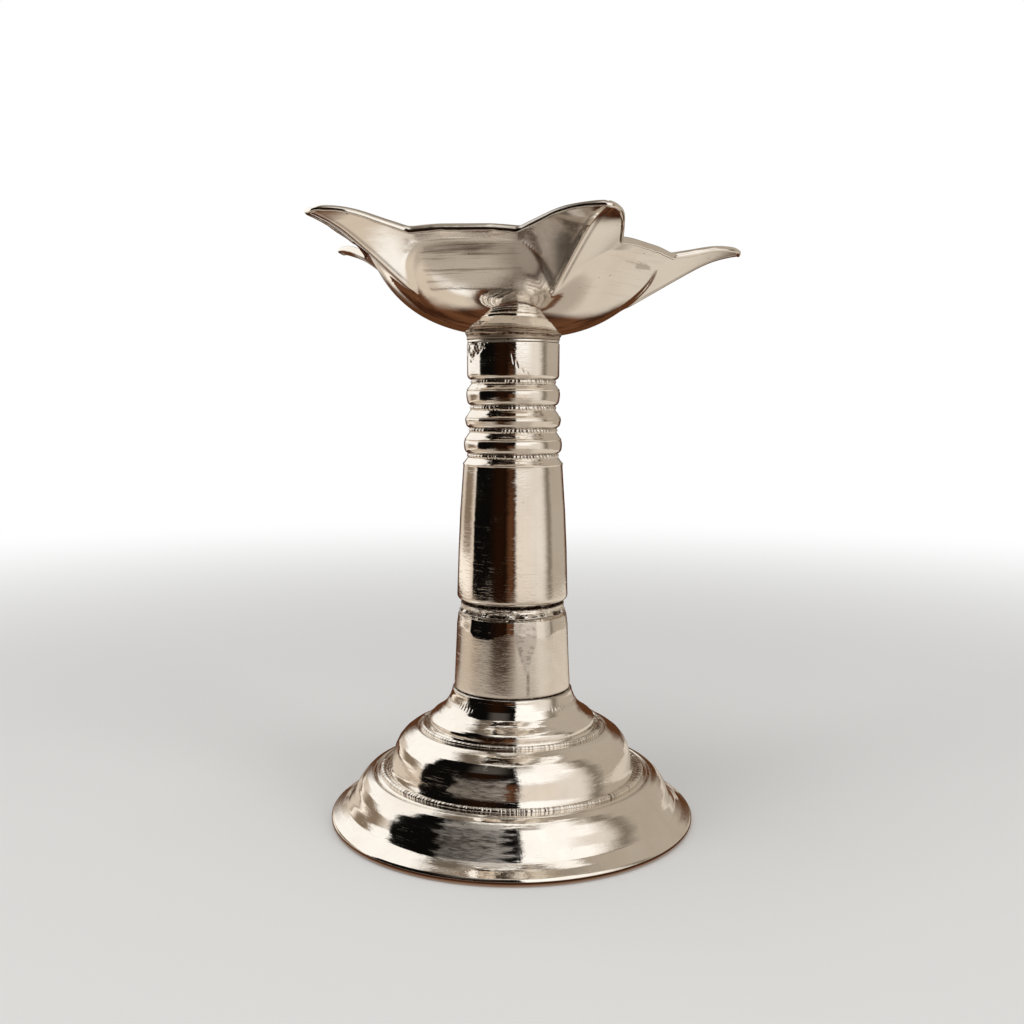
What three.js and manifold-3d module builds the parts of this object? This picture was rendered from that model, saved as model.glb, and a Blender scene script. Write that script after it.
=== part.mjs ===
// A five-wick oil lamp of polished silver: a stepped hollow base, a two-piece turned stem and a dish
// with five spouts.
// The stem unscrews from the base and the dish from the stem.
// Millimetres, +Z up. The origin lies on the stem's axis in the plane that the foot rests on, and -Y is
// the front.

import * as THREE from "three";
import { mergeVertices } from "three/addons/utils/BufferGeometryUtils.js";
import Module from "manifold-3d";

const wasm = await Module();
wasm.setup();

// Facets
const baseSides = 44;
const stemSides = 36;
const smallSides = 20;
const threadSides = 12; // steps in one turn of a thread

// Clearances
const seatGap = 0.05; // under a piece that seats on another
const fitGap = 0.3; // round a piece that sits in a bore, and under one that leans
const threadGap = 0.2; // between a screw and its thread
const rodClearance = 0.3; // round a screw where it passes a plain hole
const overrun = 1; // how far a cut runs past what it cuts

// Base: a spun shell with a flange, a skirt, a dome and a flared collar
const footRadius = 24.15;
const footEdge = 0.85; // the flange's upright edge
const footLand = 0.85; // width of the ring that the lamp rests on
const skirtRadius = 21.9;
const skirtFoot = 2.05;
const shoulderRadius = 18.3;
const shoulderHeight = 6.2;
const domeRadius = 16.15;
const domeFoot = 6.95;
const domeTopRadius = 12.4;
const domeTop = 12.4;
const flareRadius = 11.1;
const flareFoot = 12.75;
const collarRadius = 7.95;
const baseHeight = 17.5;
const baseWall = 0.85;

// Lower stem: a barrel with a web across its top
const lowerRadius = 7.72;
const lowerTopRadius = 7.3;
const lowerLength = 10.1;
const lowerWeb = 1.3;
const edgeBreak = 0.12; // the small bevel on turned edges

// Ring in the joint between the stem's two pieces
const jointHeight = 1.56;
const jointRadius = 6.85;
const jointLip = 0.35; // how far the ring's foot stands out

// Upper stem
const stemRadius = 7.33;
const stemLength = 33.6;
const stemBore = 3.6;
const stemEdge = 0.75; // rounding of the lower edge
const grooveDepth = 0.58;
const bushLength = 6;

// Rod, nut and washer that hold the lower stem to the base, and the thread on all screws
const threadPitch = 1.25;
const threadDepth = 0.45;
const rodRadius = 2.25; // over the thread
const rodThread = 5;
const rodTip = 0.5; // plain end past a thread
const rodFlange = 3.3;
const rodFlangeThickness = 0.8;
const washerRadius = 4.7;
const washerThickness = 0.7;
const nutAcross = 7.2;
const nutThickness = 3;

// Seat of the dish
const dishWasherRadius = 5.95;
const dishWasherThickness = 0.3;
const screwFlangeThickness = 0.3;
const seatRadius = 6.26;
const seatWaist = 6.05;
const seatHeight = 0.5; // under the middle of the dish

// Dish: a flat-sided bowl with five spouts, made from one sheet
const spouts = 5;
const frontSpout = THREE.MathUtils.degToRad(19.2); // turned from the front towards +X
const leanSideways = THREE.MathUtils.degToRad(2.35); // -X side up
const leanForward = THREE.MathUtils.degToRad(-1.17); // front up
const dishShift = 0.5; // the dish sits off its seat's middle towards -X
const sheet = 0.5;
const panelRadius = 19.9; // to the middle of a flat side's rim
const panelRise = 10.55; // the rim's underside over the bottom of the bowl
const bowlRadius = 19.2; // where the wall would stand upright
const bowlHeight = 14.8;
const lipSlopeShare = 0.62;
const spoutReach = 29.4;
const keelStart = 15.3;
const keelRise = 4.5;
const keelSlopeShare = 0.65;
const keelBend = 25.1; // where the keel levels out towards the tip
const tipSlopeShare = 0.22;
const keelRound = 0.6;
const creaseRound = 0.35;
const bendRound = 0.5;

// Shapes of the outlines, as shares of the step that each runs along: [outwards or inwards, upwards]
const flangeShares = [[0.12, 0.2], [0.59, 0.54], [1, 1]];
const skirtShares = [[0.19, 0.26], [0.36, 0.55], [0.53, 0.79], [0.69, 0.93], [0.86, 1.01], [1, 1]];
const lowerBeadShares = [[0.12, 0.31], [0.33, 0.85], [0.62, 0.9], [0.81, 0.62], [1, 1]];
const domeShares = [
  [0.03, 0.08], [0.04, 0.34], [0.12, 0.56], [0.28, 0.73], [0.52, 0.87], [0.84, 0.97], [1, 1],
];
const upperBeadShares = [[0.15, 0.71], [0.46, 1.43], [0.77, 1.29], [1, 1]];
const flareShares = [
  [0, 0.07], [0.02, 0.16], [0.16, 0.24], [0.41, 0.35], [0.67, 0.5], [0.86, 0.69], [0.98, 0.88], [1, 1],
];
const innerFlangeShares = [[1, 1]];
const innerSkirtShares = [[0.36, 0.55], [1, 1]];
const innerDomeShares = [[0.04, 0.34], [0.4, 0.8], [0.84, 0.97]];
const innerFlareShares = [[0.16, 0.24], [0.67, 0.5], [0.98, 0.88]];
// Upper stem: [share of its length, share of its radius] up the sides, then where each groove starts and
// ends, and the share of the radius below and above it
const stemShares = [[0.2, 0.976], [0.35, 0.945]];
const grooveShares = [
  { from: 0.536, to: 0.577, below: 0.894, above: 0.873 },
  { from: 0.631, to: 0.675, below: 0.862, above: 0.849 },
  { from: 0.715, to: 0.762, below: 0.845, above: 0.826 },
  { from: 0.822, to: 0.86, below: 0.826, above: 0.82 },
];
const neckShare = 0.823;
// One groove: [share of its depth, share of its height], from the lip under it to the rounded edge above
const coveShares = [[0, 0], [0.75, 0.25], [1, 0.45], [0.95, 0.86], [0.35, 0.97], [0, 1.2]];
const jointShares = [[0.9, 0.03], [1, 0.1], [0.3, 0.3], [0, 0.5], [0, 1]];
const threadCrestShare = 0.3; // of the pitch
const threadRootShare = 0.6;
const bowlFullnessShare = 2.6;
const spoutRoundShare = 0.7; // power that rounds a spout's outline at its mouth
// Each spout in turn from the front one: power that rounds its nose, and its reach.
const noseRoundShares = [0.58, 0.4, 0.4, 0.45, 0.42];
const reachShares = [1.04, 1, 1, 1.02, 1];
const flatStartShare = 0.64; // of the panel radius, where the round bowl starts to flatten
const sideSlopeShare = 0.49; // of a spout's faces at its mouth
const tipSideShare = 0.17; // and at its tip

// Rows and columns of the dish's sheet
const lowerRows = 7;
const upperRows = 4;
const spoutColumns = 5;
const panelColumns = 2;
const halvings = 20; // to find the crease beside a spout

// Heights that follow from the sizes above
const lowerFoot = baseHeight + seatGap;
const lowerTop = lowerFoot + lowerLength;
const stemFoot = lowerTop + jointHeight + 2 * seatGap;
const stemTop = stemFoot + stemLength;
const dishWasherFoot = stemTop + seatGap;
const seatFoot = dishWasherFoot + dishWasherThickness + seatGap;
const dishFoot = seatFoot + seatHeight;
const rodHole = rodRadius + rodClearance;
const rodCore = rodRadius - threadDepth;
const bushRadius = stemBore - fitGap;

function silver(color, roughness) {
  return new THREE.MeshStandardMaterial({ color, roughness, metalness: 1 });
}

function named(name, geometry, material) {
  const mesh = new THREE.Mesh(geometry, material);
  mesh.name = name;
  return mesh;
}

// Points of an outline between two corners, [radius, height], at shares of the step from one to the other.
function stretch(from, to, shares) {
  return shares.map(([a, b]) => [from[0] + (to[0] - from[0]) * a, from[1] + (to[1] - from[1]) * b]);
}

// The same outline moved to its left by a distance, mitred at its corners.
function moved(points, distance) {
  return points.map((point, i) => {
    const before = points[Math.max(i - 1, 0)];
    const after = points[Math.min(i + 1, points.length - 1)];
    const one = new THREE.Vector2(point[0] - before[0], point[1] - before[1]).normalize();
    const two = new THREE.Vector2(after[0] - point[0], after[1] - point[1]).normalize();
    const along = one.add(two).normalize();
    return [point[0] - along.y * distance, point[1] + along.x * distance];
  });
}

// A turned solid about Z from a closed outline that runs up its outside.
function turned(points, sides) {
  const outline = [...points, points[0]].map(([r, z]) => new THREE.Vector2(r, z));
  return new THREE.LatheGeometry(outline, sides).rotateX(Math.PI / 2);
}

// A turned solid with no hole: its outline starts and ends on the axis.
function turnedSolid(points, sides) {
  const whole = [[0, points[0][1]], ...points, [0, points.at(-1)[1]]];
  const outline = whole.map(([r, z]) => new THREE.Vector2(r, z));
  return new THREE.LatheGeometry(outline, sides).rotateX(Math.PI / 2);
}

function washer(hole, radius, foot, thickness, sides) {
  return turned([[hole, foot], [radius, foot], [radius, foot + thickness], [hole, foot + thickness]], sides);
}

// Drops triangles that have collapsed to a line or a point.
function withoutSlivers(geometry) {
  const merged = mergeVertices(geometry);
  const index = merged.index.array;
  const kept = [];
  for (let i = 0; i < index.length; i += 3) {
    const [a, b, c] = [index[i], index[i + 1], index[i + 2]];
    if (a !== b && b !== c && c !== a) kept.push(a, b, c);
  }
  return merged.setIndex(kept);
}

function solidOf(geometry) {
  const bare = geometry.clone();
  bare.deleteAttribute("normal");
  bare.deleteAttribute("uv");
  const merged = withoutSlivers(bare);
  return new wasm.Manifold(
    new wasm.Mesh({
      numProp: 3,
      vertProperties: merged.attributes.position.array,
      triVerts: new Uint32Array(merged.index.array),
    }),
  );
}

function geometryOf(solid) {
  const { vertProperties, triVerts } = solid.getMesh();
  const geometry = new THREE.BufferGeometry();
  geometry.setAttribute("position", new THREE.BufferAttribute(vertProperties, 3));
  geometry.setIndex(new THREE.BufferAttribute(triVerts, 1));
  geometry.computeVertexNormals();
  return geometry;
}

// The helical ridge of a right-hand thread between two heights: a tapered bar whose place on the turn
// depends only on its height, so that a screw and its thread always mesh.
function threadRidge(radius, from, to, grow) {
  const first = Math.floor((from / threadPitch) * threadSides);
  const last = Math.ceil((to / threadPitch) * threadSides);
  const root = radius - 2 * threadDepth;
  const crest = (threadPitch * threadCrestShare) / 2 + grow;
  const foot = (threadPitch * threadRootShare) / 2 + grow;
  const section = [[root, -foot], [radius, -crest], [radius, crest], [root, foot]];
  const points = [];
  const faces = [];
  for (let step = first; step <= last; step++) {
    const turn = (2 * Math.PI * step) / threadSides;
    const rise = (threadPitch * step) / threadSides;
    for (const [r, z] of section) points.push(r * Math.cos(turn), r * Math.sin(turn), rise + z);
  }
  const corners = section.length;
  const steps = last - first;
  for (let step = 0; step < steps; step++)
    for (let i = 0; i < corners; i++) {
      const a = step * corners + i;
      const b = step * corners + ((i + 1) % corners);
      faces.push(a, a + corners, b + corners, a, b + corners, b);
    }
  const end = steps * corners;
  faces.push(0, 1, 2, 0, 2, 3, end, end + 2, end + 1, end, end + 3, end + 2);
  const geometry = new THREE.BufferGeometry();
  geometry.setAttribute("position", new THREE.BufferAttribute(new Float32Array(points), 3));
  return geometry.setIndex(faces);
}

// A screw's shank with its thread between two heights.
function threaded(shank, radius, from, to) {
  return shank.add(solidOf(threadRidge(radius, from, to, 0)));
}

// A blank with a threaded hole right through it.
function tapped(blank, radius, from, to) {
  const ridge = threadRidge(radius + threadGap, from - overrun, to + overrun, threadGap / 2);
  return blank.subtract(solidOf(ridge));
}

function baseShell() {
  const foot = [footRadius, footEdge];
  const skirt = [skirtRadius, skirtFoot];
  const shoulder = [shoulderRadius, shoulderHeight];
  const dome = [domeRadius, domeFoot];
  const domeEdge = [domeTopRadius, domeTop];
  const flare = [flareRadius, flareFoot];
  const collar = [collarRadius, baseHeight];
  const outside = [
    [footRadius, 0],
    foot,
    ...stretch(foot, skirt, flangeShares),
    ...stretch(skirt, shoulder, skirtShares),
    ...stretch(shoulder, dome, lowerBeadShares),
    ...stretch(dome, domeEdge, domeShares),
    ...stretch(domeEdge, flare, upperBeadShares),
    ...stretch(flare, collar, flareShares),
  ];
  const inside = moved(
    [
      foot,
      ...stretch(foot, skirt, innerFlangeShares),
      ...stretch(skirt, shoulder, innerSkirtShares),
      dome,
      ...stretch(dome, domeEdge, innerDomeShares),
      flare,
      ...stretch(flare, collar, innerFlareShares),
    ],
    baseWall,
  );
  const plateFoot = baseHeight - baseWall;
  const hollow = inside.slice(1).filter(([, z]) => z < plateFoot).reverse();
  return turned(
    [
      [footRadius - footLand, 0],
      ...outside,
      [rodHole, baseHeight],
      [rodHole, plateFoot],
      [collarRadius - baseWall, plateFoot],
      ...hollow,
    ],
    baseSides,
  );
}

function lowerStem() {
  const webFoot = lowerTop - lowerWeb;
  return turned(
    [
      [stemBore, lowerFoot],
      [lowerRadius - edgeBreak, lowerFoot],
      [lowerRadius, lowerFoot + edgeBreak],
      [lowerTopRadius, lowerTop - edgeBreak],
      [lowerTopRadius - edgeBreak, lowerTop],
      [rodHole, lowerTop],
      [rodHole, webFoot],
      [stemBore, webFoot],
    ],
    stemSides,
  );
}

function jointRing() {
  const foot = lowerTop + seatGap;
  const hole = rodFlange + fitGap;
  const outside = stretch([jointRadius, foot], [jointRadius + jointLip, foot + jointHeight], jointShares);
  return turned([[hole, foot], ...outside, [hole, foot + jointHeight]], stemSides);
}

function upperStem() {
  const height = (share) => stemFoot + stemLength * share;
  const corner = stemRadius - stemEdge;
  const outside = [0, Math.PI / 6, Math.PI / 3, Math.PI / 2].map((turn) => [
    corner + stemEdge * Math.sin(turn),
    stemFoot + stemEdge * (1 - Math.cos(turn)),
  ]);
  for (const [up, out] of stemShares) outside.push([stemRadius * out, height(up)]);
  for (const groove of grooveShares) {
    const low = [stemRadius * groove.below, height(groove.from)];
    const high = [stemRadius * groove.above, height(groove.to)];
    for (const [deep, up] of coveShares)
      outside.push([
        low[0] + (high[0] - low[0]) * Math.min(up, 1) - grooveDepth * deep,
        low[1] + (high[1] - low[1]) * up,
      ]);
  }
  outside.push([stemRadius * neckShare, stemTop - edgeBreak], [stemRadius * neckShare - edgeBreak, stemTop]);
  return turned([[stemBore, stemFoot], ...outside, [stemBore, stemTop]], stemSides);
}

function bush(foot) {
  const blank = washer(rodCore + threadGap, bushRadius, foot, bushLength, smallSides);
  return geometryOf(tapped(solidOf(blank), rodRadius, foot, foot + bushLength));
}

const lowerBushFoot = stemFoot + seatGap;
const upperBushFoot = stemTop - fitGap - bushLength;
const washerFoot = baseHeight - baseWall - seatGap - washerThickness;
const nutFoot = washerFoot - seatGap - nutThickness;

function tieRod() {
  const threadFoot = lowerBushFoot + rodTip;
  const threadTop = threadFoot + rodThread;
  const foot = nutFoot - 2 * rodTip;
  const shank = turnedSolid(
    [
      [rodCore, foot],
      [rodCore, lowerTop],
      [rodFlange, lowerTop],
      [rodFlange, lowerTop + rodFlangeThickness],
      [rodCore, lowerTop + rodFlangeThickness],
      [rodCore, threadTop + rodTip],
    ],
    smallSides,
  );
  const upper = threaded(solidOf(shank), rodRadius, threadFoot, threadTop);
  return geometryOf(threaded(upper, rodRadius, foot + rodTip, washerFoot));
}

function baseNut() {
  const corner = nutAcross / 2 / Math.cos(Math.PI / 6);
  const hexagon = new THREE.CylinderGeometry(corner, corner, nutThickness, 6).rotateX(Math.PI / 2);
  hexagon.translate(0, 0, nutFoot + nutThickness / 2);
  const bore = rodCore + threadGap;
  const length = nutThickness + 2 * overrun;
  const hole = new THREE.CylinderGeometry(bore, bore, length, smallSides).rotateX(Math.PI / 2);
  hole.translate(0, 0, nutFoot + nutThickness / 2);
  const blank = solidOf(hexagon).subtract(solidOf(hole));
  return geometryOf(tapped(blank, rodRadius, nutFoot, nutFoot + nutThickness));
}

function dishScrew() {
  const foot = upperBushFoot + rodTip;
  const flangeFoot = seatFoot;
  const shank = turnedSolid(
    [
      [rodCore, foot],
      [rodCore, flangeFoot],
      [bushRadius, flangeFoot],
      [bushRadius, flangeFoot + screwFlangeThickness],
    ],
    smallSides,
  );
  return geometryOf(threaded(solidOf(shank), rodRadius, foot + rodTip, foot + rodTip + rodThread));
}

// Leans a geometry or a group that was made about the bottom of the bowl, and sets it in its place.
function lean(thing, shift) {
  const turn = new THREE.Matrix4().makeRotationFromEuler(new THREE.Euler(leanForward, leanSideways, 0));
  return thing.applyMatrix4(new THREE.Matrix4().makeTranslation(-shift, 0, dishFoot).multiply(turn));
}

// The seat follows the leaning dish on top and is cut level underneath.
function dishSeat() {
  const drop = seatHeight + overrun;
  const rise = sheetHeight(0, seatRadius) - fitGap;
  const blank = turned(
    [
      [stemBore, -drop],
      [seatWaist, -drop],
      [seatWaist, -seatHeight / 2],
      [seatRadius, rise / 2],
      [seatRadius, rise],
      [stemBore, -fitGap],
    ],
    stemSides,
  );
  lean(blank, 0);
  const side = 4 * seatRadius;
  const below = new THREE.BoxGeometry(side, side, side).translate(0, 0, seatFoot - side / 2);
  return geometryOf(solidOf(blank).subtract(solidOf(below)));
}

// The lower of two heights, with a rounded valley between them.
function softMin(a, b, round) {
  const blend = Math.max(round - Math.abs(a - b), 0) / round;
  return Math.min(a, b) - (round * blend * blend) / 4;
}

// Rises from zero to the distance past a bend, rounded at the bend.
function softRamp(past, round) {
  return (past + Math.sqrt(past * past + round * round)) / 2;
}

// A place on the dish as seen from the nearest spout: how far along it, how far across, and the turn from
// the flat side.
function fromSpout(x, y) {
  const pitch = (2 * Math.PI) / spouts;
  const turn = Math.atan2(x, -y) - frontSpout;
  const near = turn - pitch * Math.round(turn / pitch);
  const radius = Math.hypot(x, y);
  return {
    radius,
    along: radius * Math.cos(near),
    across: Math.abs(radius * Math.sin(near)),
    side: pitch / 2 - Math.abs(near),
  };
}

function bowlHeightAt({ radius, side }) {
  const start = panelRadius * flatStartShare;
  const flat = THREE.MathUtils.smoothstep(radius, start, panelRadius);
  const straight = Math.cos(Math.min(side, Math.PI / spouts / 2));
  const reach = radius * (1 - flat * (1 - straight));
  const wall = bowlHeight * (1 - Math.sqrt(Math.max(1 - (reach / bowlRadius) ** bowlFullnessShare, 0)));
  const lip = panelRise + lipSlopeShare * (Math.max(reach, bowlRadius / 2) - panelRadius);
  return softMin(wall, lip, bendRound);
}

function spoutHeightAt({ along, across }) {
  const keel = keelRise + keelSlopeShare * softRamp(along - keelStart, bendRound);
  const level = (keelSlopeShare - tipSlopeShare) * softRamp(along - keelBend, bendRound);
  const out = (along - panelRadius) / (spoutReach - panelRadius);
  const slope = sideSlopeShare + (tipSideShare - sideSlopeShare) * out;
  return keel - level + slope * (Math.hypot(across, keelRound) - keelRound);
}

// Height of the sheet's underside over the bottom of the bowl: the lower of the bowl and the nearest
// spout's V.
function sheetHeight(x, y) {
  const place = fromSpout(x, y);
  return softMin(bowlHeightAt(place), spoutHeightAt(place), creaseRound);
}

// Upright thickness of the sheet, which grows where the sheet is steep.
function sheetThickness(x, y) {
  const slopeX = (sheetHeight(x + keelRound, y) - sheetHeight(x - keelRound, y)) / (2 * keelRound);
  const slopeY = (sheetHeight(x, y + keelRound) - sheetHeight(x, y - keelRound)) / (2 * keelRound);
  return sheet * Math.sqrt(1 + slopeX * slopeX + slopeY * slopeY);
}

// The rim seen from above, as [along, across] from one spout's line: a curve from tip to corner, then
// straight along the flat side to its middle.
function rimHalf(noseShare, reachShare) {
  const reach = spoutReach * reachShare;
  const corner = panelRadius * Math.tan(Math.PI / spouts / 2);
  const points = [];
  for (let i = 0; i < spoutColumns; i++) {
    const share = Math.cos((Math.PI / 2) * (i / spoutColumns));
    const power = spoutRoundShare + (noseShare - spoutRoundShare) * share;
    points.push([panelRadius + (reach - panelRadius) * share, corner * (1 - share) ** power]);
  }
  const half = Math.PI / spouts;
  for (let i = 0; i <= panelColumns; i++) {
    const side = corner * (1 - i / panelColumns);
    points.push([
      panelRadius * Math.cos(half) + side * Math.sin(half),
      panelRadius * Math.sin(half) - side * Math.cos(half),
    ]);
  }
  return points;
}

function rimPoints() {
  const points = [];
  for (let i = 0; i < spouts; i++) {
    const half = rimHalf(noseRoundShares[i], reachShares[i]);
    const spout = [...half.slice(1).reverse().map(([a, b]) => [a, -b]), ...half.slice(0, -1)];
    const turn = frontSpout + (2 * Math.PI * i) / spouts;
    for (const [along, across] of spout)
      points.push([
        along * Math.sin(turn) + across * Math.cos(turn),
        across * Math.sin(turn) - along * Math.cos(turn),
      ]);
  }
  return points;
}

// Share of the way from the middle to the rim at which the crease beside a spout lies, or 1 on a flat side.
function creaseShare(x, y) {
  const inSpout = (share) => {
    const place = fromSpout(x * share, y * share);
    return bowlHeightAt(place) > spoutHeightAt(place);
  };
  if (fromSpout(x, y).along < panelRadius || !inSpout(1)) return 1;
  let [low, high] = [0, 1];
  for (let i = 0; i < halvings; i++) {
    const middle = (low + high) / 2;
    if (inSpout(middle)) high = middle;
    else low = middle;
  }
  return high;
}

function dishSheet() {
  const rim = rimPoints();
  const rows = lowerRows + upperRows;
  const points = [];
  for (const [x, y] of rim) {
    const crease = creaseShare(x, y);
    for (let row = 0; row <= rows; row++) {
      const past = Math.max(row - lowerRows, 0);
      const share = (crease * (row - past)) / lowerRows + ((1 - crease) * past) / upperRows;
      points.push([x * share, y * share]);
    }
  }
  const under = points.map(([x, y]) => [x, y, sheetHeight(x, y)]);
  const over = under.map(([x, y, z]) => [x, y, z + sheetThickness(x, y)]);
  const faces = [];
  const count = rim.length * (rows + 1);
  const quad = (a, b, c, d) => faces.push(a, b, c, a, c, d);
  for (let column = 0; column < rim.length; column++) {
    const a = column * (rows + 1);
    const b = ((column + 1) % rim.length) * (rows + 1);
    for (let row = 0; row < rows; row++) {
      quad(a + row, b + row, b + row + 1, a + row + 1);
      quad(count + a + row, count + a + row + 1, count + b + row + 1, count + b + row);
    }
    quad(a + rows, b + rows, count + b + rows, count + a + rows);
  }
  const geometry = new THREE.BufferGeometry();
  const positions = new Float32Array([...under, ...over].flat());
  geometry.setAttribute("position", new THREE.BufferAttribute(positions, 3));
  geometry.setIndex(faces);
  return geometryOf(solidOf(geometry));
}

const bright = silver(0xe6e0d6, 0.08);
const cloudy = silver(0xd8cfc2, 0.28);
const rough = silver(0xc9bfae, 0.4);
const hidden = silver(0xbfb8ad, 0.45);

const lamp = new THREE.Group();

const base = new THREE.Group();
base.add(
  named("base_shell", baseShell(), bright),
  named("lower_stem", lowerStem(), cloudy),
  named("tie_rod", tieRod(), hidden),
  named("base_washer", washer(rodHole, washerRadius, washerFoot, washerThickness, smallSides), hidden),
  named("base_nut", baseNut(), hidden),
);

const stem = new THREE.Group();
stem.add(
  named("upper_stem", upperStem(), bright),
  named("stem_lower_bush", bush(lowerBushFoot), hidden),
  named("stem_upper_bush", bush(upperBushFoot), hidden),
);

const leaning = new THREE.Group();
leaning.add(named("dish", dishSheet(), bright));
lean(leaning, dishShift);

const dish = new THREE.Group();
dish.add(leaning, named("dish_seat", dishSeat(), rough), named("dish_screw", dishScrew(), hidden));

lamp.add(
  base,
  named("joint_ring", jointRing(), rough),
  stem,
  named(
    "dish_washer",
    washer(rodHole, dishWasherRadius, dishWasherFoot, dishWasherThickness, stemSides),
    rough,
  ),
  dish,
);

export default lamp;
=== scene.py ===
import math
import bpy
import numpy as np
from mathutils import Matrix, Vector


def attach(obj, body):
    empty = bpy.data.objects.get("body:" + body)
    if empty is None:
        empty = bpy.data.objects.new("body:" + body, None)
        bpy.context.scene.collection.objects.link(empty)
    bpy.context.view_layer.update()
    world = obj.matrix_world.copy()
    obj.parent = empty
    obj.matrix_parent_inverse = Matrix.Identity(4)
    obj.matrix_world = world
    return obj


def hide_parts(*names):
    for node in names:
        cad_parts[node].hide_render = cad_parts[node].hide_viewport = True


# A five-wick silver oil lamp. Shapes are worked out in millimetres and put into the meshes in metres.
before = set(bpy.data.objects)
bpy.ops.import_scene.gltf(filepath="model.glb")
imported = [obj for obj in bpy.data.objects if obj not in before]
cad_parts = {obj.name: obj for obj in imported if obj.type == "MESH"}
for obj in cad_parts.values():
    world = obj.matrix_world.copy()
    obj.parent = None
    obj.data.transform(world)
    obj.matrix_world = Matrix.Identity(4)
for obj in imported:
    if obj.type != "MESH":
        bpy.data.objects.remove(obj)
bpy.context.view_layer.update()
mm = 0.001
scene = bpy.context.scene
print("frame loaded:", len(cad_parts), "nodes")


def newObject(name, data):
    made = bpy.data.objects.new(name, data)
    scene.collection.objects.link(made)
    return made


cameraSet = {
    "distance": 147.75, "height": 56.44, "pitch": 6.02, "roll": 0.215, "lens": 39.52, "shift": -0.0007,
}
camera = newObject("camera", bpy.data.cameras.new("camera"))
camera.data.lens = cameraSet["lens"]
camera.data.sensor_width = 36
camera.data.clip_start = 0.005
camera.data.shift_x = cameraSet["shift"]
camera.location = (0, -cameraSet["distance"] * mm, cameraSet["height"] * mm)
pitched = Matrix.Rotation(math.radians(90 - cameraSet["pitch"]), 3, "X")
camera.rotation_euler = (pitched @ Matrix.Rotation(math.radians(cameraSet["roll"]), 3, "Z")).to_euler()
scene.camera = camera
scene.view_settings.view_transform = "Standard"


signs = {"+": "ADD", "-": "SUBTRACT", "*": "MULTIPLY"}


# Tools that add nodes to a tree: make(kind, {socket: value or another node's output}, property=value), one
# step of arithmetic, an eased range, noise and a mix of two colours.
def nodeTools(tree):
    def make(kind, inputs=None, **properties):
        node = tree.nodes.new("ShaderNode" + kind)
        for name, value in properties.items():
            setattr(node, name, value)
        for key, value in (inputs or {}).items():
            if isinstance(value, bpy.types.NodeSocket):
                tree.links.new(value, node.inputs[key])
            else:
                node.inputs[key].default_value = value
        return node

    def calc(step, a, b=0.0, clamp=False):
        step = signs.get(step, step)
        return make("Math", {0: a, 1: b}, operation=step, use_clamp=clamp).outputs[0]

    def ease(value, low, high, fromValue=0.0, toValue=1.0):
        inputs = {0: value, 1: low, 2: high, 3: fromValue, 4: toValue}
        return make("MapRange", inputs, interpolation_type="SMOOTHSTEP").outputs[0]

    def noise(vector, scale, detail, roughness=0.5):
        inputs = {"Vector": vector, "Scale": scale, "Detail": detail, "Roughness": roughness}
        return make("TexNoise", inputs).outputs["Fac"]

    def mix(share, a, b):
        a, b = (c if isinstance(c, bpy.types.NodeSocket) else (*c, 1) for c in (a, b))
        return make("Mix", {0: share, 6: a, 7: b}, data_type="RGBA").outputs[2]

    return make, calc, ease, noise, mix


# The world is white where the camera or a reflection sees it, and dimmer as a light.
worldLight = 0.42
world = scene.world = bpy.data.worlds.new("studio")
world.use_nodes = True
world.node_tree.nodes.clear()
make, calc, *_ = nodeTools(world.node_tree)
rays = make("LightPath").outputs
seen = calc("MAXIMUM", rays["Is Camera Ray"], rays["Is Glossy Ray"])
seen = calc("MAXIMUM", seen, rays["Is Transmission Ray"])
strength = calc("+", worldLight, calc("*", seen, 1 - worldLight))
background = make("Background", {"Color": (1, 1, 1, 1), "Strength": strength})
make("OutputWorld", {"Surface": background.outputs[0]})


def newMaterial(name):
    material = bpy.data.materials.new(name)
    material.use_nodes = True
    material.node_tree.nodes.clear()
    return material, nodeTools(material.node_tree)


# A point's turn about Z in degrees, 0 towards the camera, then its distance from the axis and its height.
def polar(tools, point):
    make, calc, *_ = tools
    x, y, height = make("SeparateXYZ", {0: point}).outputs
    turn = calc("*", calc("ARCTAN2", x, calc("*", y, -1)), 180 / math.pi)
    reach = calc("SQRT", calc("+", calc("*", x, x), calc("*", y, y)))
    return turn, reach, height


# Lays cards over a colour, each (middle, half width, low, high, soft sideways, soft at low and high, colour).
# Sideways is in degrees of turn, and low to high in the units of the measure.
def layCards(tools, colour, cards, turn, measure):
    make, calc, ease, _, mix = tools
    for middle, half, low, high, softSide, softEnds, shade in cards.values():
        turned = make("Math", {0: calc("-", turn, middle), 1: 180, 2: -180}, operation="WRAP")
        aside = calc("ABSOLUTE", turned.outputs[0])
        off = calc("ABSOLUTE", calc("-", measure, (low + high) / 2))
        ends = ease(off, (high - low) / 2 - softEnds, (high - low) / 2 + softEnds, 1, 0)
        sides = ease(aside, half - softSide, half + softSide, 1, 0)
        colour = mix(calc("*", sides, ends), colour, shade)
    return colour


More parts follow.
